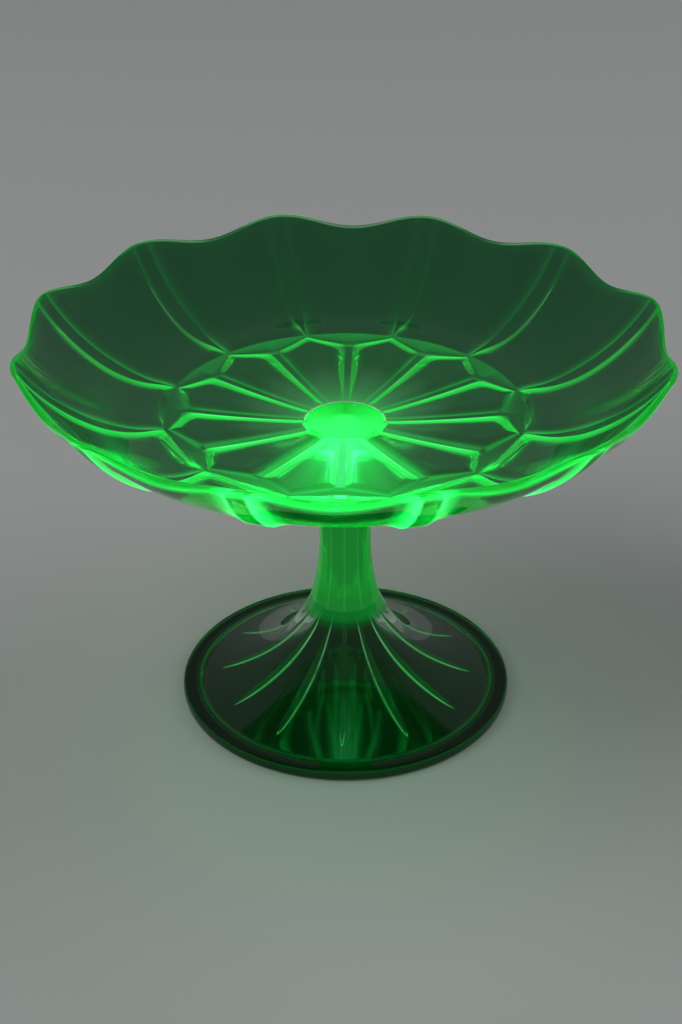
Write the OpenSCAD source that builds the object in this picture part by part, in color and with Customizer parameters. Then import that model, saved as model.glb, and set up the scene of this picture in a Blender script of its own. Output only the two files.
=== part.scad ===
// Footed glass comport: a wide scalloped bowl, a joining wafer, a solid
// twelve-sided stem and a hollow trumpet foot. The frame is +Z up, with the
// origin on the table under the centre of the foot.

/* [Whole piece] */
// Radius of the bowl at the points of its rim
bowl_r = 115; // [105:1:125]
// Height of the rim's points above the table, to the top of the lip
total_h = 147; // [143:1:152]
// Number of lobes of the rim, which is also the number of ribs and facets
lobes = 12; // [12:1:12]

/* [Bowl] */
// How far the rim drops between two points
rim_drop = 5.2; // [3:0.1:6]
// How far the rim draws in between two points, as a share of the radius
rim_draw = 0.025; // [0.02:0.005:0.045]
// Radius of the corners of the floor, as a share of the bowl's radius
floor_share = 0.554; // [0.52:0.002:0.58]
// Height of the underside of the floor at its centre
floor_z = 110; // [109:0.5:111]
// How far the floor rises from its centre to its corners
floor_rise = 4.4; // [3:0.1:5.5]
// Thickness of the floor
floor_t = 5.2; // [4.5:0.1:6]
// Thickness of the wall on a rib at the rim
rim_t = 3.2; // [2.8:0.1:4]
// Depth of the hollow between two ribs of the wall
flute = 1.3; // [0.6:0.1:1.5]
// Depth of the petals sunk into the underside of the floor
petal = 1.6; // [0.8:0.1:2]

/* [Wafer and stem] */
// Radius of the wafer that joins the bowl to the stem
wafer_r = 14.6; // [14.2:0.1:15.5]
// Thickness of the wafer
wafer_t = 2; // [1.5:0.1:3]
// Radius of the stem, on its edges, at the waist
waist_r = 9.7; // [9:0.1:10.5]
// Height of the waist
waist_z = 65; // [60:1:70]
// Radius of the stem, on its edges, under the wafer
stem_top_r = 14.2; // [13.5:0.1:14.2]

/* [Foot] */
// Outer radius of the foot
foot_r = 62.2; // [60:0.1:65]
// Height at which the stem stands on the foot
neck_z = 40; // [39:0.5:42]
// Radius of the top of the foot
neck_r = 13; // [12.6:0.1:13.6]
// Width of the flat band round the edge of the foot
band_w = 6.6; // [5:0.1:7]
// Thickness of the edge of the foot
edge_t = 3.8; // [3.4:0.1:4.4]
// Thickness of the foot above its hollow, measured upright
foot_t = 2.6; // [2.2:0.1:3]
// Height of the ceiling of the hollow in the foot
hollow_z = 36; // [33:0.5:37]
// Radius of the tips of the twelve ribs inside the foot
rib_tip_r = 47.5; // [44:0.5:50]
// Height of those ribs, down from the ceiling of the hollow
rib_h = 0.8; // [0.5:0.1:1]

/* [Hidden] */
glass = [0.25, 0.85, 0.35, 0.55];
step = 360 / lobes;
columns = 8 * lobes;
wafer_z = floor_z - wafer_t;
flat_share = wafer_r * 1.05 / bowl_r;
wall_share = 0.6;
lip_rise = 1.6;
ring_shares = [0.16, 0.24, 0.33, 0.42, 0.5, floor_share];
wall_shares = [0.6, 0.66, 0.72, 0.78, 0.84, 0.89, 0.93, 0.97, 1];
inner_shares = [0.97, 0.93, 0.89, 0.84, 0.78, 0.72, 0.66, 0.6, 0.5, 0.33, 0.16];

// ---- shared shapes ----

// One closed solid through a list of rings of equal length. The first and
// the last ring are closed by a fan to the middle of each.
module loft(rings) {
    n = len(rings[0]);
    rows = len(rings);
    points = [for (ring = rings) each ring];
    middle = function(ring) [for (k = [0:2]) [for (p = ring) p[k]] * [for (p = ring) 1] / n];
    sides = [for (i = [0:rows - 2], j = [0:n - 1])
        let (a = i * n + j, b = i * n + (j + 1) % n)
        each [[a, b, a + n], [b, b + n, a + n]]];
    first = [for (j = [0:n - 1]) [rows * n, (j + 1) % n, j]];
    last = [for (j = [0:n - 1]) [rows * n + 1, (rows - 1) * n + j, (rows - 1) * n + (j + 1) % n]];
    polyhedron(concat(points, [middle(rings[0]), middle(rings[rows - 1])]), concat(sides, first, last));
}

// ---- bowl ----

// 1 at a point of the rim, 0 half way between two points
function wave(a) = 0.5 - 0.5 * cos(lobes * a);
function rim_radius(a) = bowl_r * (1 - rim_draw * (1 - wave(a)));
function rim_height(a) = total_h - lip_rise - rim_drop * (1 - wave(a));

// Share of the wall's height at share s of the radius: a shallow dish that
// turns up steeply towards the rim
function climb(s) = let (u = max(0, (s - wall_share) / (1 - wall_share))) 0.9 * pow(u, 1.9) + 0.1 * pow(u, 8);
function dish(s) = floor_rise * pow(min(1, max(0, s - flat_share) / (wall_share - flat_share)), 1.5);
function rib_z(s, a) = floor_z + dish(s) + (rim_height(a) - floor_z - floor_rise) * climb(s);
function slope(s, a) = atan((rib_z(s, a) - rib_z(s - 0.01, a)) / (0.01 * rim_radius(a)));

// The hollow between two ribs is a shallow arc that fades by half at the
// rim, and a petal lies inside each rib's end on the floor
function fade(s) = min(1, (s - floor_share) / 0.08) * (1 - 0.5 * max(0, (s - 0.9) / 0.1));
function hollow(s, a) = s <= floor_share ? 0
    : flute * fade(s) * (1 - pow(abs(wrap(a)) / (step / 2), 2));
function sunk(s, a) = s >= floor_share || s <= flat_share ? 0 : petal * wave(a);
function wrap(a) = a - step * round(a / step);
function outer_point(s, a) = let (lean = slope(s, a), push = hollow(s, a), r = s * rim_radius(a) - push * sin(lean))
    [r * cos(a), r * sin(a), rib_z(s, a) + push * cos(lean) + sunk(s, a)];
function wall_t(s) = floor_t + (rim_t - floor_t) * max(0, (s - wall_share) / (1 - wall_share));
function inner_point(s, a) = let (lean = slope(s, a), r = s * rim_radius(a) - wall_t(s) * sin(lean))
    [r * cos(a), r * sin(a), rib_z(s, a) + wall_t(s) * cos(lean)];

// The lip is a rounded edge over the middle of the wall's thickness
function lip_point(a) = [inner_point(1, a).x, inner_point(1, a).y, rim_height(a) + lip_rise] * 0.5
    + [outer_point(1, a).x, outer_point(1, a).y, rim_height(a) + lip_rise] * 0.5;
function ring_of(f) = [for (j = [0:columns - 1]) f(360 * j / columns)];

module bowl() {
    shares = concat([flat_share], ring_shares, wall_shares);
    outer = [for (s = shares) ring_of(function(a) outer_point(s, a))];
    lip = [ring_of(function(a) lip_point(a))];
    inner_rim = [ring_of(function(a) inner_point(1, a))];
    inner = [for (s = inner_shares) ring_of(function(a) inner_point(s, a))];
    color(glass) loft(concat(outer, lip, inner_rim, inner));
}

// ---- wafer ----

module wafer() {
    color(glass) translate([0, 0, wafer_z]) rotate_extrude($fn = 96) {
        square([wafer_r - wafer_t / 2, wafer_t]);
        translate([wafer_r - wafer_t / 2, wafer_t / 2]) intersection() {
            circle(d = wafer_t, $fn = 24);
            translate([0, -wafer_t]) square(2 * wafer_t);
        }
    }
}

// ---- stem ----

// An hourglass whose radius grows with the square of the way from the waist
function stem_r(z) = z > waist_z
    ? waist_r + (stem_top_r - waist_r) * pow((z - waist_z) / (wafer_z - waist_z), 2)
    : waist_r + (neck_r - waist_r) * pow((waist_z - z) / (waist_z - neck_z), 2);

module stem() {
    rows = 16;
    color(glass) loft([for (i = [0:rows])
        let (z = neck_z + (wafer_z - neck_z) * i / rows)
        [for (k = [0:lobes - 1]) [stem_r(z) * cos(step * k), stem_r(z) * sin(step * k), z]]]);
}

// ---- foot ----

// Height of the top of the foot at a radius: a cone that grows steeper
// inwards from the band, with a long flare up to the neck
band_r = foot_r - band_w;
cone_slope = 0.27;
cone_bend = 0.0045;
flare_w = 8;
round_r = 1.2;
function cone_z(r) = edge_t + cone_slope * (band_r - r) + cone_bend * pow(band_r - r, 2);
function top_z(r) = cone_z(r) + (neck_z - cone_z(neck_r)) * exp(-pow((r - neck_r) / flare_w, 1.1));
foot_steps = 14;
foot_radii = [for (i = [0:foot_steps]) neck_r + (band_r - neck_r) * pow(i / foot_steps, 1.6)];

module foot_solid() {
    rotate_extrude($fn = 128) polygon(concat(
        [[0, 0], [foot_r - round_r, 0], [foot_r, round_r], [foot_r, edge_t - round_r], [foot_r - round_r, edge_t]],
        [for (i = [foot_steps:-1:0]) [foot_radii[i], top_z(foot_radii[i])]],
        [[0, neck_z]]));
}

// The hollow is open downwards. Its ceiling is a cone under the foot's own,
// which turns up in the middle to a small flat.
flat_r = 7;
rise_w = 7;
function under_z(r) = cone_z(r) - foot_t;
function ceiling_z(r) = under_z(r) + (hollow_z - under_z(flat_r)) * exp(-(r - flat_r) / rise_w);
module foot_hollow(drop) {
    mouth_r = band_r + 0.8;
    steps = 10;
    reach = band_r - 3 - flat_r;
    rotate_extrude($fn = 128) polygon(concat(
        [[0, -1], [mouth_r, -1], [mouth_r, 0.4]],
        [for (i = [steps:-1:0]) let (r = flat_r + reach * pow(i / steps, 1.5)) [r, ceiling_z(r) - drop]],
        [[0, hollow_z - drop]]));
}

// The plan of one rib: a spindle between two arcs, pointed at both ends
module rib_plan() {
    start_r = flat_r + 1;
    long = rib_tip_r - start_r;
    wide = 3.2;
    arc_r = (pow(long / 2, 2) + pow(wide / 2, 2)) / wide;
    translate([start_r + long / 2, 0]) intersection() {
        translate([0, arc_r - wide / 2]) circle(arc_r, $fn = 180);
        translate([0, wide / 2 - arc_r]) circle(arc_r, $fn = 180);
    }
}

// The ribs stand down into the hollow, as deep as rib_h
module foot() {
    color(glass) difference() {
        foot_solid();
        foot_hollow(rib_h);
        difference() {
            foot_hollow(0);
            for (k = [0:lobes - 1]) rotate(step * k) linear_extrude(neck_z) rib_plan();
        }
    }
}

bowl();
wafer();
stem();
foot();
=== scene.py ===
"""A footed dish of pressed uranium glass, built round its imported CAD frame.

The dish is a wide scalloped bowl, a joining wafer, a waisted stem with flat
sides and a hollow round foot. One twelve-fold pattern runs through all of
them. Sizes are in millimetres inside the classes, and become metres when a
mesh is made. An azimuth turns from +X towards +Y, as in the frame.
"""

import logging
import math
from dataclasses import dataclass, field
from enum import Enum

import bpy
import numpy as np
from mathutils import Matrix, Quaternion, Vector


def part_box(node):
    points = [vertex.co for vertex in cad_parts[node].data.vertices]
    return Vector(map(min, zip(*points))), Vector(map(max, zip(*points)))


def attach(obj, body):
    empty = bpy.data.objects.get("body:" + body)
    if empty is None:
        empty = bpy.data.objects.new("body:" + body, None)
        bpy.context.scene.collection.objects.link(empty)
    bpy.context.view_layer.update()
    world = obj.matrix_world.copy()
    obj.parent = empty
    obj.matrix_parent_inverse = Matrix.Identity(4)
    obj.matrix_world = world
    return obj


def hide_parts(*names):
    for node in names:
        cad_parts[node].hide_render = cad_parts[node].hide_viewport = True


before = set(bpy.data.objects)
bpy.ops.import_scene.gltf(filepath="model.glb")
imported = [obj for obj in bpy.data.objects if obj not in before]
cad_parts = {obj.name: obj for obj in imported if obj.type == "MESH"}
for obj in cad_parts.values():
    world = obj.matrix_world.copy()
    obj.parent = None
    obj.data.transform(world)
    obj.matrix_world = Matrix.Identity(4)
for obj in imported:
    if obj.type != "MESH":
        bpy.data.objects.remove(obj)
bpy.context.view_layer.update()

MM = 0.001
LOBES = 12
HALF = 180.0 / LOBES

log = logging.getLogger("comport")


# ---------------------------------------------------------------- shared


class Face(Enum):
    """Which material slot of a piece a face takes."""

    GLASS = 0
    JOINT = 1


def ease(x: np.ndarray) -> np.ndarray:
    """Returns 0 below 0, 1 above 1 and a smooth S between them."""
    u = np.clip(x, 0.0, 1.0)
    return u * u * (3.0 - 2.0 * u)


def scoop(x: np.ndarray, power: float = 2.2) -> np.ndarray:
    """Gives how deep a moulded hollow is, from its edge inwards.

    The depth is one minus the power of what is left of the way to the flat
    middle, so it starts with a crisp steep flank and then levels out.

    Args:
        x: Way from the edge, as a share of the flank's width.
        power: How sharply the flank starts.

    Returns:
        The depth as a share of the full depth.
    """
    return 1.0 - (1.0 - np.clip(x, 0.0, 1.0)) ** power


def spaced(count: int, lean: float = 0.0) -> np.ndarray:
    """Returns count + 1 shares from 0 to 1, closer together at both ends by lean."""
    x = np.linspace(0.0, 1.0, count + 1)
    return (1.0 - lean) * x + lean * (0.5 - 0.5 * np.cos(math.pi * x))


def unfold(half: np.ndarray) -> np.ndarray:
    """Carries azimuths of one half sector round the whole piece.

    Sector by sector, the half sector is laid down as it is and then mirrored,
    and the shared columns are kept once.

    Args:
        half: Azimuths in degrees, rows by columns, from 0 to half a sector.

    Returns:
        Rows by columns of azimuths that go once round.
    """
    mirrored = 2.0 * HALF - half[:, -2:0:-1]
    sector = np.concatenate([half, mirrored], axis=1)
    return np.concatenate([sector + 2.0 * HALF * k for k in range(LOBES)], axis=1)


def repeat(half: np.ndarray) -> np.ndarray:
    """Carries values of one half sector round the whole piece, as unfold does azimuths."""
    sector = np.concatenate([half, half[:, -2:0:-1]], axis=1)
    return np.tile(sector, (1, LOBES))


@dataclass(frozen=True)
class Lamp:
    """What the ultraviolet lamp, on the -Y side, does to a stretch of glass, painted on as glow and as a
    paler tint, as no such lamp is in the scene.

    Attributes:
        away: Share of the glow that the far side loses, one or one a ring.
        level: Glow of an edge, whichever way it faces.
        toward: Glow of a slope that faces the lamp.
        behind: Glow of the edge of a slope that faces away from it.
        ring: How much of a ring's own lean outwards counts as facing.
        haze: Even glow over all of it, one or one a ring.
        wash: Glow of the lamp's side, one or one a ring.
        focus: How sharply that glow is drawn to the lamp's side.
        clear: Share of the colour's depth that the lamp's side loses: painted light, the tint drawn paler
            there.
    """

    away: np.ndarray | float = 0.0
    level: float = 1.0
    toward: float = 0.0
    behind: float = 0.0
    ring: float = 1.0
    haze: np.ndarray | float = 0.0
    wash: np.ndarray | float = 0.0
    focus: float = 3.0
    clear: np.ndarray | float = 0.0

    def facing(self, turn: np.ndarray, outward: np.ndarray, across: np.ndarray) -> np.ndarray:
        """Tells how far a slope faces the lamp, from -1 to 1.

        It is the part of the slope's normal in plan that points to the lamp,
        over its length in plan, and it fades where the glass is nearly flat.

        Args:
            turn: Azimuth in radians.
            outward: Part of the normal along the radius.
            across: Part of the normal square to the radius.

        Returns:
            The part that points to the lamp, the same shape.
        """
        own = outward - (1.0 - self.ring) * outward.mean(axis=1, keepdims=True)
        return -(own * np.sin(turn) + across * np.cos(turn)) / (np.hypot(own, across) + 0.12)

    def glow(self, edge: np.ndarray, near: np.ndarray, facing: np.ndarray) -> np.ndarray:
        """Gives the painted glow under the lamp.

        A slope that faces the lamp glows over most of its width, and one that
        faces away only in a thin line along its edge. The far side loses the
        share away. Haze is added everywhere, and wash by a power of near.

        Args:
            edge: 1 on the edge that a slope starts from, 0 at its end.
            near: 1 on the lamp's side, 0 opposite.
            facing: How far the slope faces the lamp.

        Returns:
            The glow, the same shape.
        """
        band = 1.0 - (1.0 - edge) ** 2.5
        front = self.toward * np.clip(facing, 0.0, None) * band
        back = self.behind * np.clip(-facing, 0.0, None) * edge**7
        lit = (self.level * edge**3 + front + back) * (1.0 - self.away * (1.0 - near))
        return lit + self.haze + self.wash * near**self.focus


@dataclass
class Skin:
    """A closed skin of rings of points, from a first pole to a last one."""

    name: str
    azimuth: list[np.ndarray] = field(default_factory=list)
    radius: list[np.ndarray] = field(default_factory=list)
    height: list[np.ndarray] = field(default_factory=list)
    glow: list[np.ndarray] = field(default_factory=list)
    depth: list[np.ndarray] = field(default_factory=list)
    lamp: list[tuple[int, Lamp]] = field(default_factory=list)
    kind: list[Face] = field(default_factory=list)

    def add(
        self,
        azimuth: np.ndarray,
        radius: np.ndarray,
        height: np.ndarray,
        glow: np.ndarray,
        kind: Face,
        depth: np.ndarray | float = 0.0,
        lamp: Lamp = Lamp(),
        first: Face | None = None,
    ) -> None:
        """Adds a block of rings.

        Args:
            azimuth: Degrees, rows by columns of one half sector.
            radius: Millimetres, the same shape.
            height: Millimetres, the same shape.
            glow: 1 on the edges that light up and 0 away from them, the same shape.
            kind: Slot of the faces between each new ring and the one before it.
            depth: How deep the glass's colour is there, from 0 for clear to 1; past the glass's green, the
                deeper part is painted shade.
            lamp: What the lamp does to these rings.
            first: Slot of the faces before the first new ring, if it differs.
        """
        shape = np.broadcast_shapes(azimuth.shape, radius.shape, height.shape, glow.shape)
        self.azimuth.append(unfold(np.broadcast_to(azimuth, shape)))
        self.radius.append(repeat(np.broadcast_to(radius, shape)))
        self.height.append(repeat(np.broadcast_to(height, shape)))
        self.glow.append(repeat(np.broadcast_to(glow, shape)))
        self.depth.append(repeat(np.broadcast_to(depth, shape)))
        self.lamp.append((shape[0], lamp))
        self.kind += [first or kind] + [kind] * (shape[0] - 1)

    def lit(self, azimuth: np.ndarray, rings: np.ndarray, side: float) -> tuple[np.ndarray, np.ndarray]:
        """Gives the painted glow and the colour's depth, with its painted shade, of every ring under the
        lamp.

        Args:
            azimuth: Degrees, rows by columns.
            rings: Points, rows by columns by three.
            side: 1 if rows crossed with columns point outwards, or -1.

        Returns:
            Glow and depth, rows by columns.
        """
        across = np.roll(rings, -1, axis=1) - np.roll(rings, 1, axis=1)
        normal = side * np.cross(np.gradient(rings, axis=0), across)
        normal = normal / np.maximum(np.linalg.norm(normal, axis=-1, keepdims=True), 1e-9)
        turn = np.radians(azimuth)
        outward = normal[..., 0] * np.cos(turn) + normal[..., 1] * np.sin(turn)
        sideways = normal[..., 1] * np.cos(turn) - normal[..., 0] * np.sin(turn)
        near = 0.5 - 0.5 * np.sin(turn)
        glow, depth, start = [], [], 0
        for block, deep, (rows, lamp) in zip(self.glow, self.depth, self.lamp):
            part = slice(start, start + rows)
            facing = lamp.facing(turn[part], outward[part], sideways[part])
            glow.append(lamp.glow(block, near[part], facing))
            # Painted light: the tint and painted shade are drawn paler on the lamp's side.
            depth.append(deep * (1.0 - lamp.clear * near[part] ** 2))
            start += rows
        return np.concatenate(glow), np.concatenate(depth)

    def build(self) -> bpy.types.Object:
        """Makes the mesh: quads between rings, and a fan of triangles at each pole.

        Returns:
            The new object, at the origin with its place in its mesh.
        """
        azimuth, radius, height = (np.concatenate(x) for x in (self.azimuth, self.radius, self.height))
        rows, cols = radius.shape
        turn = np.radians(azimuth)
        rings = np.stack([radius * np.cos(turn), radius * np.sin(turn), height], axis=-1)
        poles = np.array([[0.0, 0.0, height[0].mean()], [0.0, 0.0, height[-1].mean()]])
        points = np.concatenate([rings.reshape(-1, 3), poles]) * MM
        j = np.arange(cols)
        after = (j + 1) % cols
        start = (np.arange(rows - 1) * cols)[:, None]
        corners = [start + j, start + j + cols, start + after + cols, start + after]
        quads = np.stack(corners, axis=-1).reshape(-1, 4)
        first = np.stack([np.full(cols, rows * cols), j, after], axis=-1)
        base = (rows - 1) * cols
        last = np.stack([np.full(cols, rows * cols + 1), base + after, base + j], axis=-1)
        inside_out = self.swept_volume(points, quads) < 0.0
        if inside_out:
            first, quads, last = first[:, ::-1], quads[:, ::-1], last[:, ::-1]
        mesh = bpy.data.meshes.new(self.name)
        mesh.from_pydata(points.tolist(), [], first.tolist() + quads.tolist() + last.tolist())
        slots = np.repeat([kind.value for kind in [*self.kind, self.kind[-1]]], cols)
        mesh.polygons.foreach_set("material_index", slots.astype(np.int32))
        mesh.polygons.foreach_set("use_smooth", np.ones(len(mesh.polygons), dtype=bool))
        for name, value in zip(("glow", "depth"), self.lit(azimuth, rings, -1.0 if inside_out else 1.0)):
            store = mesh.attributes.new(name, "FLOAT", "POINT")
            ends = [value[0].mean(), value[-1].mean()]
            store.data.foreach_set("value", np.concatenate([value.ravel(), ends]).astype(np.float32))
        mesh.set_sharp_from_angle(angle=math.radians(32.0))
        mesh.validate()
        piece = bpy.data.objects.new(self.name, mesh)
        bpy.context.scene.collection.objects.link(piece)
        return piece

    @staticmethod
    def swept_volume(points: np.ndarray, quads: np.ndarray) -> float:
        """Gives six times the volume that the quads sweep, to tell which way they face.

        Args:
            points: Corners in metres.
            quads: Four corner numbers for each face.

        Returns:
            A number above zero if the faces point outwards.
        """
        a, b, c, d = (points[quads[:, k]] for k in range(4))
        return float(np.sum(a * (np.cross(b, c) + np.cross(c, d))))


# ---------------------------------------------------------------- finishes


@dataclass(frozen=True)
class UraniumGlass:
    """Green glass that glows under an ultraviolet lamp: the glow is painted in, and its darker tints are
    painted shade.

    Attributes:
        name: Name of the material.
        faint: Light of a glow of 0.12.
        bright: Light of a glow of 0.62.
        peak: Light of the full glow.
        clear: Tint where the colour's depth is 0.
        middle: Tint where it is half: the glass's green darkened by painted shade.
        deep: Tint where it is full: nearly black, painted shade that darkens what shows through.
        strength: Strength of the surface's light.
        gloss: Strength of the plain reflections, where 0.5 is that of glass.
        ripple: Strength of the faint unevenness of the surface.
        fog: What the inside of the glass lets through.
        density: How thick that is.
        inner: Colour of the light inside the glass.
        inner_glow: Strength of that light.
    """

    name: str
    faint: tuple[float, float, float] = (0.0, 0.05, 0.006)
    bright: tuple[float, float, float] = (0.004, 0.62, 0.06)
    peak: tuple[float, float, float] = (0.05, 1.0, 0.24)
    clear: tuple[float, float, float] = (0.88, 1.0, 0.9)
    middle: tuple[float, float, float] = (0.02, 0.26, 0.05)
    deep: tuple[float, float, float] = (0.0005, 0.022, 0.004)
    strength: float = 1.0
    gloss: float = 0.28
    ripple: float = 0.04
    fog: tuple[float, float, float] = (0.0, 0.4, 0.0)
    density: float = 12.0
    inner: tuple[float, float, float] = (0.01, 1.0, 0.06)
    inner_glow: float = 3.0

    def material(self) -> bpy.types.Material:
        """Builds the nodes of the surface and of the inside.

        The tint of a face, the glass's green deepened by painted shade, is a ramp over its "depth"
        attribute. Its painted glow is a ramp over its "glow" attribute, broken up a little by soft noise.
        Roughness and a faint ripple come from noise on Object coordinates.

        Returns:
            The material.
        """
        made = bpy.data.materials.new(self.name)
        made.use_nodes = True
        tree = made.node_tree
        nodes, links = tree.nodes, tree.links
        shader = nodes["Principled BSDF"]
        shader.inputs["Transmission Weight"].default_value = 1.0
        shader.inputs["IOR"].default_value = 1.51
        shader.inputs["Specular IOR Level"].default_value = self.gloss
        shader.inputs["Emission Strength"].default_value = self.strength
        depth = self.attribute(tree, "depth")
        # Painted shade: the middle and deep stops darken the glass far past its own green.
        tint = self.ramp(tree, depth, ((0.0, self.clear), (0.5, self.middle), (1.0, self.deep)))
        links.new(tint, shader.inputs["Base Color"])
        place = nodes.new("ShaderNodeTexCoord").outputs["Object"]
        cloud = self.noise(tree, place, 35.0, 2.0)
        fine = self.noise(tree, place, 160.0, 3.0)
        share = nodes.new("ShaderNodeMath")
        share.operation = "MULTIPLY"
        links.new(self.attribute(tree, "glow"), share.inputs[0])
        links.new(self.spread(tree, cloud, 0.78, 1.18), share.inputs[1])
        stops = ((0.0, (0.0, 0.0, 0.0)), (0.12, self.faint), (0.62, self.bright), (1.0, self.peak))
        links.new(self.ramp(tree, share.outputs[0], stops), shader.inputs["Emission Color"])
        links.new(self.spread(tree, fine, 0.0, 0.06), shader.inputs["Roughness"])
        bump = nodes.new("ShaderNodeBump")
        bump.inputs["Strength"].default_value = self.ripple
        bump.inputs["Distance"].default_value = 0.002
        links.new(cloud, bump.inputs["Height"])
        links.new(bump.outputs["Normal"], shader.inputs["Normal"])
        links.new(self.inside(tree), nodes["Material Output"].inputs["Volume"])
        return made

    def inside(self, tree: bpy.types.NodeTree) -> bpy.types.NodeSocket:
        """Returns the inside of the glass: it darkens with thickness and glows evenly."""
        fog = tree.nodes.new("ShaderNodeVolumeAbsorption")
        fog.inputs["Color"].default_value = (*self.fog, 1.0)
        fog.inputs["Density"].default_value = self.density
        light = tree.nodes.new("ShaderNodeEmission")
        light.inputs["Color"].default_value = (*self.inner, 1.0)
        light.inputs["Strength"].default_value = self.inner_glow
        both = tree.nodes.new("ShaderNodeAddShader")
        tree.links.new(fog.outputs["Volume"], both.inputs[0])
        tree.links.new(light.outputs["Emission"], both.inputs[1])
        return both.outputs[0]

    @staticmethod
    def attribute(tree: bpy.types.NodeTree, name: str) -> bpy.types.NodeSocket:
        """Returns one of the mesh's own values."""
        node = tree.nodes.new("ShaderNodeAttribute")
        node.attribute_name = name
        return node.outputs["Fac"]

    @staticmethod
    def ramp(tree: bpy.types.NodeTree, value: bpy.types.NodeSocket, stops: tuple) -> bpy.types.NodeSocket:
        """Runs a value through a colour ramp.

        Args:
            tree: Where the node goes.
            value: The value, from 0 to 1.
            stops: Pairs of a place and a colour, the first at 0 and the last at 1.

        Returns:
            The colour.
        """
        node = tree.nodes.new("ShaderNodeValToRGB")
        elements = node.color_ramp.elements
        elements[0].color = (*stops[0][1], 1.0)
        elements[1].color = (*stops[-1][1], 1.0)
        for place, colour in stops[1:-1]:
            elements.new(place).color = (*colour, 1.0)
        tree.links.new(value, node.inputs["Fac"])
        return node.outputs["Color"]

    @staticmethod
    def spread(
        tree: bpy.types.NodeTree, value: bpy.types.NodeSocket, low: float, high: float
    ) -> bpy.types.NodeSocket:
        """Returns a value from 0 to 1 spread out from low to high."""
        node = tree.nodes.new("ShaderNodeMapRange")
        node.inputs["To Min"].default_value = low
        node.inputs["To Max"].default_value = high
        tree.links.new(value, node.inputs["Value"])
        return node.outputs["Result"]

    @staticmethod
    def noise(
        tree: bpy.types.NodeTree, place: bpy.types.NodeSocket, scale: float, detail: float
    ) -> bpy.types.NodeSocket:
        """Returns soft noise at a place, from 0 to 1."""
        node = tree.nodes.new("ShaderNodeTexNoise")
        node.inputs["Scale"].default_value = scale
        node.inputs["Detail"].default_value = detail
        tree.links.new(place, node.inputs["Vector"])
        return node.outputs["Fac"]


@dataclass(frozen=True)
class FusedJoint:
    """The face where two pieces are fused: glass meets glass, so nothing shows."""

    name: str = "fused_joint"

    def material(self) -> bpy.types.Material:
        """Returns a material that lets everything through unbent."""
        made = bpy.data.materials.get(self.name) or bpy.data.materials.new(self.name)
        made.use_nodes = True
        shader = made.node_tree.nodes["Principled BSDF"]
        shader.inputs["Alpha"].default_value = 0.0
        shader.inputs["Specular IOR Level"].default_value = 0.0
        return made


def dress(piece: bpy.types.Object, glass: UraniumGlass, node: str) -> None:
    """Gives a piece its materials, in the order of Face, and ties it to the frame.

    Args:
        piece: The new object.
        glass: Finish of its glass.
        node: CAD node that it stands for.
    """
    piece.data.materials.append(glass.material())
    piece.data.materials.append(FusedJoint().material())
    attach(piece, "root")
    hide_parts(node)
    log.info("%s: %d faces", piece.name, len(piece.data.polygons))


# ---------------------------------------------------------------- bowl


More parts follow.
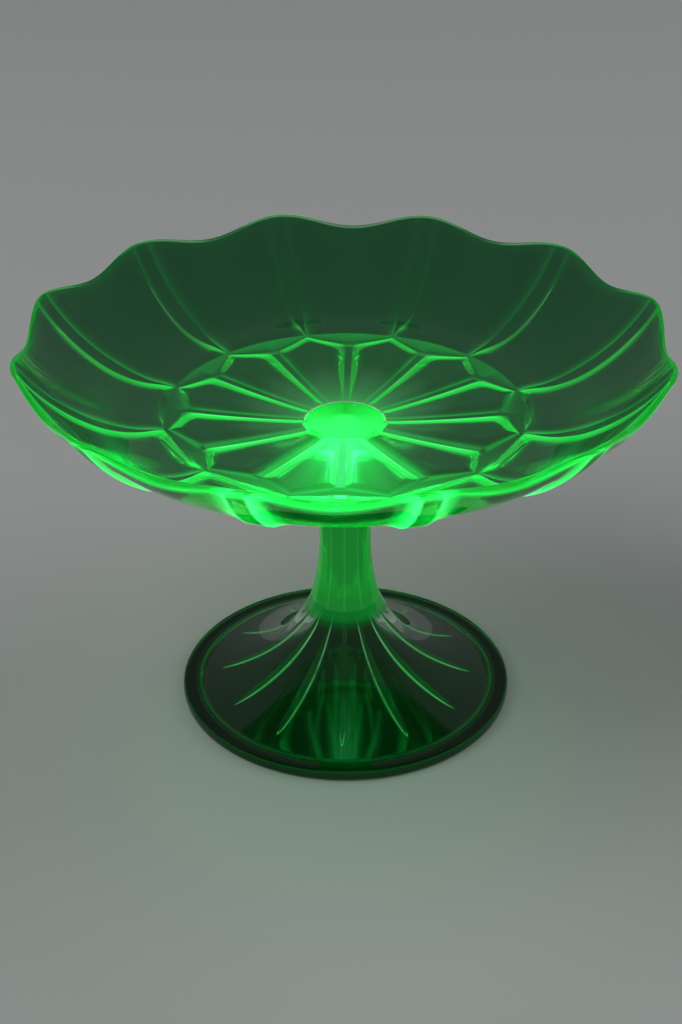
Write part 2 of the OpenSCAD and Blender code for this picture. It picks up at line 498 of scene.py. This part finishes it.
@dataclass
class Bowl:
    """The scalloped bowl: smooth inside, with the pattern on its underside.

    Attributes:
        rim_r: Radius at the rim's points.
        rim_drop: How far the rim drops between two points.
        rim_draw: How far it draws in there, as a share of the radius.
        floor_rise: How far the floor rises from the hub to the wall.
        wall_share: Where the wall starts to climb, as a share of the radius.
        corner_r: Radius of the petals' outer corners.
        elbow_r: Radius of the outer ends of the rays.
        arc_r: Radius where the wall's panels start.
        arc_cusp: How much further out they start at a corner.
        land_in: Half the width of a ray's flat top at the hub.
        land_out: The same at its outer end.
        petal_depth: Depth of a petal.
        flank_in: Width of a ray's sloped side at the hub.
        flank_out: The same at its outer end.
        flank_tip: Length of the slope at a petal's outer edge.
        reach_r: How far from the hub a petal has its full depth.
        rib_half: Half the width of a rib of the wall.
        swell: How far a lens between petal and wall swells out.
        flute_depth: Depth of a flute of the wall.
        flute_flank: Width of its sloped sides.
        floor_t: Thickness of the floor.
        rim_t: Thickness of the wall at the rim, between two points.
        point_t: The same at a point.
        lip_rise: How far the rounded lip stands over the end of the wall.
        lip_lean: Slope of the wall at the rim, in degrees.
        joint_r: Radius of the face that is fused to the wafer.
        hub_r: Radius where the rays start.
        floor_rings: Rings from hub to elbow.
        wall_rings: Rings of the wall, outside and inside.
    """

    rim_r: float = 115.0
    rim_drop: float = 5.2
    rim_draw: float = 0.025
    floor_rise: float = 4.4
    wall_share: float = 0.6
    corner_r: float = 63.7
    elbow_r: float = 55.5
    arc_r: float = 64.4
    arc_cusp: float = 0.3
    land_in: float = 1.1
    land_out: float = 1.5
    petal_depth: float = 2.0
    flank_in: float = 3.0
    flank_out: float = 7.0
    flank_tip: float = 5.0
    reach_r: float = 22.0
    rib_half: float = 3.4
    swell: float = 0.6
    flute_depth: float = 1.4
    flute_flank: float = 6.5
    floor_t: float = 5.2
    rim_t: float = 3.8
    point_t: float = 2.0
    lip_rise: float = 1.2
    lip_lean: float = 60.0
    joint_r: float = 13.6
    hub_r: float = 15.3
    floor_rings: int = 37
    wall_rings: int = 40

    def __post_init__(self) -> None:
        """Takes the heights of the rim and of the floor from the frame."""
        low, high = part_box("bowl")
        self.top_z = high.z / MM
        self.floor_z = low.z / MM
        lean = math.radians(self.lip_lean)
        self.edge_z = self.top_z - 0.5 * self.point_t * math.cos(lean) - math.hypot(
            0.5 * self.point_t * math.cos(lean), self.lip_rise * math.sin(lean)
        )

    def wave(self, t: np.ndarray) -> np.ndarray:
        """Returns 0 half way between two points of the rim and 1 at a point."""
        return 0.5 - 0.5 * np.cos(np.radians(t) * LOBES)

    def rim_radius(self, t: np.ndarray) -> np.ndarray:
        """Returns the radius of the rim at an azimuth."""
        return self.rim_r * (1.0 - self.rim_draw * (1.0 - self.wave(t)))

    def base_z(self, share: np.ndarray, t: np.ndarray) -> np.ndarray:
        """Gives the height of the underside before anything is sunk into it.

        The floor rises as a power of the way out, and the wall climbs on from
        there: mostly by a power near two of the way to the rim, and by a much
        higher power close to it.

        Args:
            share: Radius as a share of the rim's radius at that azimuth.
            t: Azimuth in degrees.

        Returns:
            The height in millimetres.
        """
        inner = self.hub_r / self.rim_r
        dish = np.clip((share - inner) / (self.wall_share - inner), 0.0, 1.0) ** 1.5
        u = np.clip((share - self.wall_share) / (1.0 - self.wall_share), 0.0, None)
        climb = 0.9 * u**1.9 + 0.1 * u**8
        rim = self.edge_z - self.rim_drop * (1.0 - self.wave(t))
        foot = self.floor_z + self.floor_rise
        return self.floor_z + self.floor_rise * dish + (rim - foot) * climb

    def lean(self, share: np.ndarray, t: np.ndarray) -> np.ndarray:
        """Returns the slope of the base surface, as an angle, along a radius."""
        step = 0.004
        rise = self.base_z(share + step, t) - self.base_z(share - step, t)
        return np.arctan2(rise, 2.0 * step * self.rim_radius(t))

    def offset(self, radius: np.ndarray, t: np.ndarray, depth: np.ndarray) -> tuple[np.ndarray, np.ndarray]:
        """Moves points of the base surface into the glass, square to the surface.

        Args:
            radius: Radius of the points before the move.
            t: Azimuth in degrees.
            depth: How far each goes, in millimetres.

        Returns:
            The new radii and heights.
        """
        share = radius / self.rim_radius(t)
        lean = self.lean(share, t)
        return radius - depth * np.sin(lean), self.base_z(share, t) + depth * np.cos(lean)

    def wall_t(self, share: np.ndarray, t: np.ndarray) -> np.ndarray:
        """Returns the thickness of the glass, which thins to the rim, and most to its points."""
        rim = self.rim_t + (self.point_t - self.rim_t) * self.wave(t)
        way = np.clip((share - self.wall_share) / (1.0 - self.wall_share), 0.0, 1.0)
        return self.floor_t + (rim - self.floor_t) * way

    def land(self, radius: np.ndarray) -> np.ndarray:
        """Returns half the width of a ray's flat top at a radius."""
        u = (radius - self.hub_r) / (self.elbow_r - self.hub_r)
        return self.land_in + (self.land_out - self.land_in) * np.clip(u, 0.0, 1.0)

    def elbow_line(self, t: np.ndarray) -> np.ndarray:
        """Returns the radius of a petal's outer edge: straight in plan from elbow to corner."""
        t_e = math.degrees(math.asin(self.land_out / self.elbow_r))
        corner = self.corner_r - 0.3
        span = math.sin(math.radians(HALF - t_e))
        bottom = self.elbow_r * np.sin(np.radians(t - t_e)) + corner * np.sin(np.radians(HALF - t))
        line = self.elbow_r * corner * span / bottom
        return np.where(t <= t_e, self.elbow_r, line)

    def arc_line(self, t: np.ndarray) -> np.ndarray:
        """Returns the radius where the wall starts: nearly round, a little wider at each corner."""
        return self.arc_r + self.arc_cusp * (t / HALF) ** 6

    def columns(self) -> tuple[int, int, np.ndarray, np.ndarray]:
        """Splits a half sector into columns.

        Returns:
            The column on the ray's edge, the column on the rib's edge, and the
            columns' shares between ray and petal axis, first as they lie near
            the middle of the floor and then at the corner.
        """
        ray, panel, rib = 3, 10, 3
        near = np.concatenate([spaced(panel, 0.6) * 0.86, 0.86 + 0.14 * spaced(rib)[1:]])
        tip = 0.15 / (self.corner_r * math.radians(HALF))
        far = np.concatenate([spaced(panel, 0.6) * (1.0 - tip), 1.0 - tip + tip * spaced(rib)[1:]])
        return ray, ray + panel, near, far

    def floor(self, skin: Skin) -> np.ndarray:
        """Adds the underside of the floor, from the hub to the foot of the wall.

        Twelve rays stand between twelve petals. A petal is sunk by the product
        of two scoops, one from the ray beside it and one from its outer edge,
        and it is shallower near the hub. A lens that swells a little outwards
        lies between each petal's edge and the wall.

        Args:
            skin: Where the rings go.

        Returns:
            The azimuths of the last ring.
        """
        ray, _, near, far = self.columns()
        v = (np.linspace(0.0, 1.0, self.floor_rings) ** 0.9)[:, None]
        along = self.hub_r + (self.elbow_r - self.hub_r) * v
        land = self.land(along)
        t_land = np.degrees(np.arcsin(land / along))
        spread = near + (far - near) * v**3
        on_ray = t_land * np.linspace(0, 1, ray + 1)[:-1]
        t = np.concatenate([on_ray, t_land + (HALF - t_land) * spread], axis=1)
        end = self.elbow_line(t[-1:])
        radius = self.hub_r + (end - self.hub_r) * v
        from_ray = radius * np.sin(np.radians(t)) - self.land(radius)
        half = radius * math.sin(math.radians(HALF)) - self.land(radius)
        flank = np.minimum(self.flank_in + (self.flank_out - self.flank_in) * v, 0.92 * half)
        side = np.clip(from_ray / flank, 0.0, 1.0)
        tip = np.clip((end - radius) / self.flank_tip, 0.0, 1.0)
        reach = 0.3 + 0.7 * ease((radius - self.hub_r) / self.reach_r)
        r, z = self.offset(radius, t, self.petal_depth * reach * scoop(side) * scoop(tip))
        edge = np.maximum(1.0 - side, 1.0 - tip) * np.where(from_ray > -0.05, 1.0, 0.8)
        out = radius[:, :1] - self.hub_r
        # Painted glow: a halo round the hub and a wash on the lamp's side; the colour's depth, tint and
        # painted shade, grows away from the hub.
        lamp = Lamp(
            away=0.3, level=0.07, toward=0.95, behind=0.4, haze=0.05 + 0.17 * np.exp(-out / 9.0),
            wash=1.2 * np.exp(-out / 40.0), focus=20.0,
        )
        skin.add(t, r, z, edge, Face.GLASS, 0.5 + 0.5 * ease(out / 24.0), lamp)
        w = np.linspace(0.0, 1.0, 7)[1:, None]
        t_end = t[-1:]
        radius = end + (self.arc_line(t_end) - end) * w
        swell = self.swell * (1.0 - t_end / HALF) * np.sin(math.pi * w) ** 0.5
        r, z = self.offset(radius, t_end, -swell)
        lamp = Lamp(away=0.5, level=0.12, behind=0.75, wash=0.4, focus=8.0)
        skin.add(t_end, r, z, np.full_like(radius, 0.96), Face.GLASS, 1.0, lamp)
        return t_end

    def wall(self, skin: Skin, start: np.ndarray) -> tuple[np.ndarray, np.ndarray, np.ndarray]:
        """Adds the outside of the wall: ribs, and between them the flutes.

        A rib starts as a point at the floor's corner and widens upwards. A
        flute is sunk by the product of two scoops, from the rib and from the
        floor, and it fades by half at the rim.

        Args:
            skin: Where the rings go.
            start: Azimuths of the ring that it starts from.

        Returns:
            The azimuths, radii and heights of the last ring.
        """
        _, edge, _, _ = self.columns()
        w = (spaced(self.wall_rings, 0.35)[1:] ** 1.15)[:, None]
        foot = self.arc_line(start) / self.rim_radius(start)
        share = foot + (1.0 - foot) * w
        wide = 0.15 + self.rib_half * ease(w / 0.55) ** 0.7
        t_rib = HALF - np.degrees(np.arcsin(wide / (share[:, edge : edge + 1] * self.rim_r)))
        inner = start[:, : edge + 1] / start[:, edge : edge + 1]
        outer = (start[:, edge + 1 :] - start[:, edge : edge + 1]) / (HALF - start[:, edge : edge + 1])
        t = np.concatenate([t_rib * inner, t_rib + (HALF - t_rib) * outer], axis=1)
        radius = share * self.rim_radius(t)
        from_rib = radius * np.radians(t_rib - t)
        rib_side = np.clip(from_rib / self.flute_flank, 0.0, 1.0)
        foot_side = np.clip((radius - self.arc_line(t)) / self.flute_flank, 0.0, 1.0)
        hollow = scoop(rib_side) * scoop(foot_side)
        fade = 1.0 - 0.5 * ease((share - 0.9) / 0.1)
        r, z = self.offset(radius, t, self.flute_depth * hollow * fade)
        edge = np.maximum((1.0 - rib_side) * (from_rib > -0.05), 0.8 * (1.0 - foot_side) ** 6)
        edge = np.maximum(edge, 0.6 * ease((share - 0.988) / 0.012))
        # Painted glow: a bright band part way up the wall on the lamp's side, and a tint drawn paler there.
        lamp = Lamp(
            away=0.4 + 0.58 * ease(w / 0.4), level=0.34, toward=0.85, behind=0.5, ring=0.6,
            haze=0.004, wash=0.08 + 0.6 * np.exp(-(((w - 0.47) / 0.14) ** 2)), focus=4.0, clear=0.1,
        )
        skin.add(t, r, z, edge, Face.GLASS, 1.0, lamp)
        return t[-1:], r[-1:], z[-1:]

    def lip(self, skin: Skin, t: np.ndarray, out_r: np.ndarray, out_z: np.ndarray) -> None:
        """Adds the rounded lip: half an ellipse from the outside to the inside.

        Args:
            skin: Where the rings go.
            t: Azimuths of the last ring of the outside.
            out_r: Radii of that ring.
            out_z: Heights of that ring.
        """
        full = np.full_like(t, 1.0)
        in_r, in_z = self.offset(self.rim_radius(t), t, self.wall_t(full, t))
        lean = self.lean(full, t)
        turn = np.linspace(0.0, math.pi, 11)[1:-1, None]
        mid_r, mid_z = 0.5 * (out_r + in_r), 0.5 * (out_z + in_z)
        radius = mid_r + (out_r - mid_r) * np.cos(turn) + self.lip_rise * np.cos(lean) * np.sin(turn)
        height = mid_z + (out_z - mid_z) * np.cos(turn) + self.lip_rise * np.sin(lean) * np.sin(turn)
        edge = np.abs(np.cos(turn)) * np.ones_like(radius)
        skin.add(t, radius, height, edge, Face.GLASS, 0.3, Lamp(away=0.8, level=0.3, haze=0.01))

    def inside(self, skin: Skin, t: np.ndarray) -> None:
        """Adds the smooth inside, from the lip to the middle of the floor."""
        share = (1.0 - spaced(self.wall_rings, 0.2)[:-1])[:, None] * np.ones_like(t)
        t = np.broadcast_to(t, share.shape)
        r, z = self.offset(share * self.rim_radius(t), t, self.wall_t(share, t))
        edge = ease((share - 0.99) / 0.01)
        skin.add(t, np.clip(r, 0.2, None), z, edge, Face.GLASS, 0.05, Lamp(away=0.85, level=0.12))

    def build(self) -> bpy.types.Object:
        """Builds the bowl from the hub outwards, over the lip and back inside."""
        skin = Skin("bowl_glass")
        ray, _, near, _ = self.columns()
        t_land = math.degrees(math.asin(self.land_in / self.hub_r))
        on_ray = t_land * np.linspace(0, 1, ray + 1)[:-1]
        t = np.concatenate([on_ray, t_land + (HALF - t_land) * near])[None]
        joint = np.array([0.3, 0.65, 1.0])[:, None] * self.joint_r
        skin.add(t, joint * np.ones_like(t), np.full((3, 1), self.floor_z), 0.0 * joint, Face.JOINT)
        start = self.floor(skin)
        rim_t, rim_r, rim_z = self.wall(skin, start)
        self.lip(skin, rim_t, rim_r, rim_z)
        self.inside(skin, rim_t)
        return skin.build()


# ---------------------------------------------------------------- wafer


@dataclass
class Wafer:
    """The pad of hot glass between bowl and stem, with a rounded edge.

    Its lit top lies by the gap under the bowl's joint face, so that the two
    never lie in the same plane.
    """

    joint_r: float = 13.6
    gap: float = 0.03

    def build(self) -> bpy.types.Object:
        """Builds the disc: a joint face, a half round edge and a lit top.

        The top glows less towards its rim, and the lamp's side makes up for it,
        so that only a crescent at the back stays dim.

        Returns:
            The new object.
        """
        low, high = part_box("wafer")
        top, bottom, out = high.z / MM, low.z / MM, high.x / MM
        half = 0.5 * (top - bottom)
        mid = bottom + half
        t = np.linspace(0.0, HALF, 9)[None]
        one = np.ones_like(t)
        rings = np.array([0.3, 0.65, 1.0])[:, None] * self.joint_r
        turn = np.linspace(0.5 * math.pi, -0.5 * math.pi, 13)[1:-1, None]
        skin = Skin("wafer_glass")
        skin.add(t, rings * one, np.full((3, 1), bottom), 0.0 * one, Face.JOINT)
        reach = out - self.joint_r
        edge_r = self.joint_r + reach * np.cos(turn)
        edge_z = mid - half * np.sin(turn)
        skin.add(t, edge_r * one, edge_z * one, 0.0 * edge_r * one, Face.GLASS, 0.0, Lamp(haze=0.75))
        face = np.array([1.0, 0.93, 0.8, 0.6, 0.4, 0.2])[:, None]
        crescent = 0.62 * ease((face - 0.15) / 0.3)
        lamp = Lamp(haze=0.92 - crescent, wash=crescent, focus=0.4)
        height = np.full((6, 1), top - self.gap)
        skin.add(t, face * self.joint_r * one, height, 0.0 * one, Face.GLASS, 1.0, lamp)
        return skin.build()


# ---------------------------------------------------------------- stem


def facet(t: np.ndarray, soft: float = 0.012) -> np.ndarray:
    """Gives the radius of a flat-sided ring of one side per sector, its edges at azimuth 0.

    A side is straight in plan, so its radius is that of the flat's middle
    over the cosine of the angle from it. The edge itself is eased.

    Args:
        t: Azimuth in degrees, from the edge to the middle of a side.
        soft: How much of the radius the eased edge loses.

    Returns:
        The radius as a share of the radius on the edges.
    """
    side = math.cos(math.radians(HALF)) / np.cos(np.radians(HALF - t))
    return side - soft * np.exp(-((t / 1.6) ** 2))


@dataclass
class Stem:
    """The solid stem: an hourglass with twelve flat sides.

    Attributes:
        waist_r: Radius on the edges at the waist.
        waist_z: Height of the waist.
        top_r: Radius on the edges under the wafer.
        neck_r: Radius on the edges on the foot.
        joint_r: Radius of the face that is fused to the wafer.
    """

    waist_r: float = 9.7
    waist_z: float = 65.0
    top_r: float = 14.2
    neck_r: float = 13.0
    joint_r: float = 13.6

    def radius(self, z: np.ndarray, low: float, high: float) -> np.ndarray:
        """Returns the radius on the edges, which grows with the square of the way from the waist."""
        up = (self.top_r - self.waist_r) * ((z - self.waist_z) / (high - self.waist_z)) ** 2
        down = (self.neck_r - self.waist_r) * ((self.waist_z - z) / (self.waist_z - low)) ** 2
        return self.waist_r + np.where(z > self.waist_z, up, down)

    def build(self) -> bpy.types.Object:
        """Builds the stem from its foot to its top."""
        low, high = (corner.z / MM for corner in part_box("stem"))
        t = np.linspace(0.0, HALF, 9)[None]
        one = np.ones_like(t)
        skin = Skin("stem_glass")
        shares = np.array([0.3, 0.65, 0.97])[:, None]
        skin.add(t, shares * self.neck_r * facet(t), np.full((3, 1), low), 0.0 * one, Face.JOINT)
        z = np.linspace(low, high, 61)[:, None]
        edge = np.clip(1.0 - t / 5.0, 0.0, 1.0) * np.ones_like(z)
        side_r = self.radius(z, low, high) * facet(t)
        lamp = Lamp(level=0.07, haze=0.19)
        skin.add(t, side_r, z * one, edge, Face.GLASS, 1.0, lamp, first=Face.JOINT)
        cap = np.array([1.0, 0.65, 0.3])[:, None] * self.joint_r
        skin.add(t, cap * one, np.full((3, 1), high), 0.0 * one, Face.JOINT, first=Face.GLASS)
        return skin.build()


# ---------------------------------------------------------------- foot


@dataclass
class Foot:
    """The hollow round foot: a flat band round it, and twelve pointed ribs inside.

    Attributes:
        neck_r: Radius of its top.
        band_w: Width of the band.
        edge_t: Thickness of the band.
        foot_t: Thickness over the hollow, measured upright.
        slope: Slope of the cone at the band.
        bend: How fast it grows steeper inwards.
        flare: Reach of the flare below the neck.
        round_r: Radius of the band's round corners.
        hollow_z: Height of the flat in the middle of the hollow.
        flat_r: Radius of that flat.
        rise: Reach of the hollow's own flare.
        rib_tip_r: Radius of the outer tips of the ribs.
        rib_half: Half the width of a rib.
        rib_h: Height of a rib.
        rib_cols: Columns of the mesh on half a rib.
    """

    neck_r: float = 13.0
    band_w: float = 6.6
    edge_t: float = 3.8
    foot_t: float = 2.6
    slope: float = 0.27
    bend: float = 0.0045
    flare: float = 8.0
    round_r: float = 1.2
    hollow_z: float = 36.0
    flat_r: float = 7.0
    rise: float = 7.0
    rib_tip_r: float = 47.5
    rib_half: float = 2.1
    rib_h: float = 0.8
    rib_cols: int = 7

    def __post_init__(self) -> None:
        """Takes the foot's radius and the height of its neck from the frame."""
        _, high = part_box("foot")
        self.out_r = high.x / MM
        self.neck_z = high.z / MM
        self.band_r = self.out_r - self.band_w

    def cone_z(self, r: np.ndarray) -> np.ndarray:
        """Returns the height of the cone, which grows steeper inwards."""
        x = self.band_r - r
        return self.edge_t + self.slope * x + self.bend * x * x

    def top_z(self, r: np.ndarray) -> np.ndarray:
        """Returns the height of the top: the cone and a long flare up to the neck."""
        rise = self.neck_z - self.cone_z(self.neck_r)
        way = np.clip(r - self.neck_r, 0.0, None) / self.flare
        return self.cone_z(r) + rise * np.exp(-(way**1.1))

    def ceiling_z(self, r: np.ndarray) -> np.ndarray:
        """Returns the height of the hollow's ceiling: a cone that turns up in the middle."""
        rise = self.hollow_z - self.cone_z(self.flat_r) + self.foot_t
        return self.cone_z(r) - self.foot_t + rise * np.exp(-(r - self.flat_r) / self.rise)

    def rib_wide(self, r: np.ndarray) -> np.ndarray:
        """Returns half the width of a rib: a spindle, widest past half of the way out."""
        u = np.clip((r - self.flat_r) / (self.rib_tip_r - self.flat_r), 0.0, 1.0)
        return 0.06 + self.rib_half * 2.6 * u**0.8 * (1.0 - u) ** 0.6

    def outside(self, skin: Skin) -> None:
        """Adds the joint face, the flared top and the band's round edge.

        The neck still has the stem's facets and its glow, and both fade
        down the flare. A thin line of light marks each side of the band.

        Args:
            skin: Where the rings go.
        """
        t = spaced(12, 0.2)[None] * HALF
        one = np.ones_like(t)
        shares = np.array([0.3, 0.65, 0.97])[:, None]
        skin.add(t, shares * self.neck_r * facet(t), np.full((3, 1), self.neck_z), 0.0 * t, Face.JOINT)
        r = self.neck_r + (self.band_r - self.neck_r) * (np.linspace(0.0, 1.0, 57) ** 1.6)[:, None]
        z = self.top_z(r)
        faceted = np.exp(-(((r - self.neck_r) / 2.5) ** 2))
        # Painted glow and painted shade near the neck: both the glow and the colour's depth grow up the
        # flare.
        plug = ease((z - self.hollow_z + 4.0) / 6.0)
        line = np.clip(1.0 - (self.band_r - r) / 0.9, 0.0, 1.0)
        round_r = r * (1.0 + (facet(t) - 1.0) * faceted)
        lamp = Lamp(level=0.1, haze=0.004 + 0.2 * plug)
        skin.add(t, round_r, z * one, line * one, Face.GLASS, plug, lamp, first=Face.JOINT)
        edge_r, edge_z = self.band()
        mid = self.out_r - self.round_r
        inner = np.exp(-(((edge_r - self.band_r - 1.4) / 0.4) ** 2)) * (edge_z > self.round_r)
        outer = np.exp(-(((edge_r - mid - 0.8) / 0.5) ** 2))
        lines = np.maximum(0.7 * inner, outer)
        lamp = Lamp(level=0.11, haze=0.004)
        skin.add(t, edge_r * one, edge_z * one, lines * one, Face.GLASS, 0.5, lamp)

    def band(self) -> tuple[np.ndarray, np.ndarray]:
        """Gives the section of the band: its top, its edge with two round corners, its rest.

        Returns:
            Radii and heights, one a ring.
        """
        turn = np.linspace(0.0, 0.5 * math.pi, 6)[:, None]
        mid = self.out_r - self.round_r
        flat_r = np.linspace(self.band_r, mid, 9)[1:-1, None]
        rest_r = np.linspace(mid, self.band_r + 1.2, 5)[1:, None]
        over_z = self.edge_t - self.round_r * (1.0 - np.cos(turn))
        under_z = self.round_r * (1.0 - np.sin(turn))
        over_r = mid + self.round_r * np.sin(turn)
        under_r = mid + self.round_r * np.cos(turn)
        r = np.concatenate([flat_r, over_r, under_r, rest_r])
        z = np.concatenate([0.0 * flat_r + self.edge_t, over_z, under_z, 0.0 * rest_r])
        return r, z

    def inside(self, skin: Skin) -> None:
        """Adds the hollow from its mouth up to its flat, with the ribs standing down into it.

        A rib's section is one wave of a cosine, as high as rib_h over its middle.

        Args:
            skin: Where the rings go.
        """
        way = (np.linspace(1.0, 0.0, 70) ** 1.3)[:, None]
        r = self.flat_r + (self.band_r - 2.0 - self.flat_r) * way
        wide = self.rib_wide(r)
        t_rib = np.degrees(np.arcsin(np.clip(1.15 * wide / r, 0.0, 0.24)))
        on_rib = t_rib * np.linspace(0, 1, self.rib_cols + 1)[:-1]
        beside = t_rib + (HALF - t_rib) * spaced(12 - self.rib_cols, 0.2)
        t = np.concatenate([on_rib, beside], axis=1)
        off = np.clip(r * np.sin(np.radians(t)) / wide, 0.0, 2.0)
        arch = (0.5 + 0.5 * np.cos(math.pi * np.clip(off, 0.0, 1.0))) * np.minimum(1.0, wide / 0.8)
        height = np.clip(self.ceiling_z(r), 0.5, None) - self.rib_h * arch
        edge = ease((1.1 - off) / 0.2) * ease((wide - 0.1) / 0.3)
        # Painted glow: the ceiling near the flat, and the flat itself, glow in place of the neck's light
        # seen through.
        plug = 0.2 * ease((height[:, -1:] - self.hollow_z + 6.0) / 6.0)
        lamp = Lamp(away=0.2, level=0.01, toward=0.32, behind=0.1, ring=0.0, haze=0.004 + plug)
        skin.add(t, r * np.ones_like(t), height, edge, Face.GLASS, 0.9, lamp)
        last = t[-1:]
        cap_r = self.flat_r * np.array([0.7, 0.35])[:, None] * np.ones_like(last)
        cap_z = np.full((2, 1), self.hollow_z)
        skin.add(last, cap_r, cap_z, 0.0 * last, Face.GLASS, 0.9, Lamp(haze=0.22))

    def build(self) -> bpy.types.Object:
        """Builds the foot from the joint down its top, round its edge and up its hollow."""
        skin = Skin("foot_glass")
        self.outside(skin)
        self.inside(skin)
        return skin.build()


# ---------------------------------------------------------------- studio


@dataclass
class Studio:
    """Floor, soft lights and camera.

    Attributes:
        floor_half: Half the side of the floor, in metres.
        sensor_mm: Height of the camera's sensor.
        focal: Focal length, as a number that goes with picture_h.
        picture_h: Height of the picture in the same measure.
        distance: From the camera to the point it looks at, in metres.
        tilt: How far the camera looks down, in degrees.
        turn: How far it stands round from -Y, in degrees.
        roll: How far it leans sideways, in degrees.
        aim_z: Height of the point it looks at, in metres.
        aim_x: How far that point lies to the side, in metres.
        room_light: Strength of the even light of the room.
    """

    floor_half: float = 6.0
    sensor_mm: float = 36.0
    focal: float = 1876.6
    picture_h: float = 1024.0
    distance: float = 0.6862
    tilt: float = 30.35
    turn: float = 1.84
    roll: float = -0.235
    aim_z: float = 0.0752
    aim_x: float = -0.0015
    room_light: float = 0.12

    def floor(self) -> None:
        """Lays a plain pale floor under the foot."""
        half = self.floor_half
        mesh = bpy.data.meshes.new("floor")
        corners = [(-half, -half, 0.0), (half, -half, 0.0), (half, half, 0.0), (-half, half, 0.0)]
        mesh.from_pydata(corners, [], [(0, 1, 2, 3)])
        plane = bpy.data.objects.new("floor", mesh)
        bpy.context.scene.collection.objects.link(plane)
        paint = bpy.data.materials.new("floor_paper")
        paint.use_nodes = True
        shader = paint.node_tree.nodes["Principled BSDF"]
        shader.inputs["Base Color"].default_value = (0.62, 0.63, 0.62, 1.0)
        shader.inputs["Roughness"].default_value = 0.75
        mesh.materials.append(paint)

    def lamp(self, name: str, place: tuple[float, float, float], size: float, power: float) -> None:
        """Hangs one square soft light that faces the dish.

        Args:
            name: Name of the light.
            place: Where it hangs, in metres.
            size: Side of its square, in metres.
            power: Power in watts.
        """
        light = bpy.data.lights.new(name, "AREA")
        light.size = size
        light.energy = power
        body = bpy.data.objects.new(name, light)
        body.location = place
        way = Vector((0.0, 0.0, 0.1)) - Vector(place)
        body.rotation_euler = way.to_track_quat("-Z", "Y").to_euler()
        body.visible_glossy = False
        body.visible_transmission = False
        bpy.context.scene.collection.objects.link(body)

    def camera(self) -> None:
        """Sets the camera on its circle round the dish, looking down at the stem."""
        lens = bpy.data.cameras.new("camera")
        lens.sensor_fit = "VERTICAL"
        lens.sensor_height = self.sensor_mm
        lens.lens = self.focal / self.picture_h * self.sensor_mm
        lens.clip_start = 0.02
        view = bpy.data.objects.new("camera", lens)
        up, side = math.radians(self.tilt), math.radians(self.turn)
        right = Vector((math.cos(side), math.sin(side), 0.0))
        back = Vector((math.sin(side) * math.cos(up), -math.cos(side) * math.cos(up), math.sin(up)))
        aim = right * self.aim_x + Vector((0.0, 0.0, self.aim_z))
        view.location = aim + back * self.distance
        level = back.to_track_quat("Z", "Y")
        view.rotation_euler = (level @ Quaternion((0.0, 0.0, 1.0), math.radians(self.roll))).to_euler()
        bpy.context.scene.collection.objects.link(view)
        bpy.context.scene.camera = view

    def world(self) -> None:
        """Fills the room with dim even light."""
        room = bpy.data.worlds.new("room")
        room.use_nodes = True
        room.node_tree.nodes["Background"].inputs["Color"].default_value = (0.9, 0.95, 1.0, 1.0)
        room.node_tree.nodes["Background"].inputs["Strength"].default_value = self.room_light
        bpy.context.scene.world = room

    def build(self) -> None:
        """Sets up everything round the dish."""
        self.floor()
        self.world()
        self.lamp("left_softbox", (-1.5, -0.4, 1.9), 2.2, 20.0)
        self.lamp("right_softbox", (1.7, 0.5, 1.7), 2.0, 12.0)
        self.camera()
        scene = bpy.context.scene
        scene.cycles.max_bounces = 28
        scene.cycles.transmission_bounces = 28
        scene.cycles.glossy_bounces = 16
        scene.cycles.transparent_max_bounces = 24
        scene.view_settings.view_transform = "Standard"


def main() -> None:
    """Builds the four pieces from the bowl down and the studio."""
    logging.basicConfig(level=logging.INFO, format="%(name)s: %(message)s")
    dress(Bowl().build(), UraniumGlass("bowl_uranium"), "bowl")
    dress(Wafer().build(), UraniumGlass("wafer_uranium", inner_glow=40.0), "wafer")
    dress(Stem().build(), UraniumGlass("stem_uranium", inner_glow=10.0), "stem")
    dress(Foot().build(), UraniumGlass("foot_uranium", inner_glow=0.8), "foot")
    Studio().build()


if __name__ == "__main__":
    main()
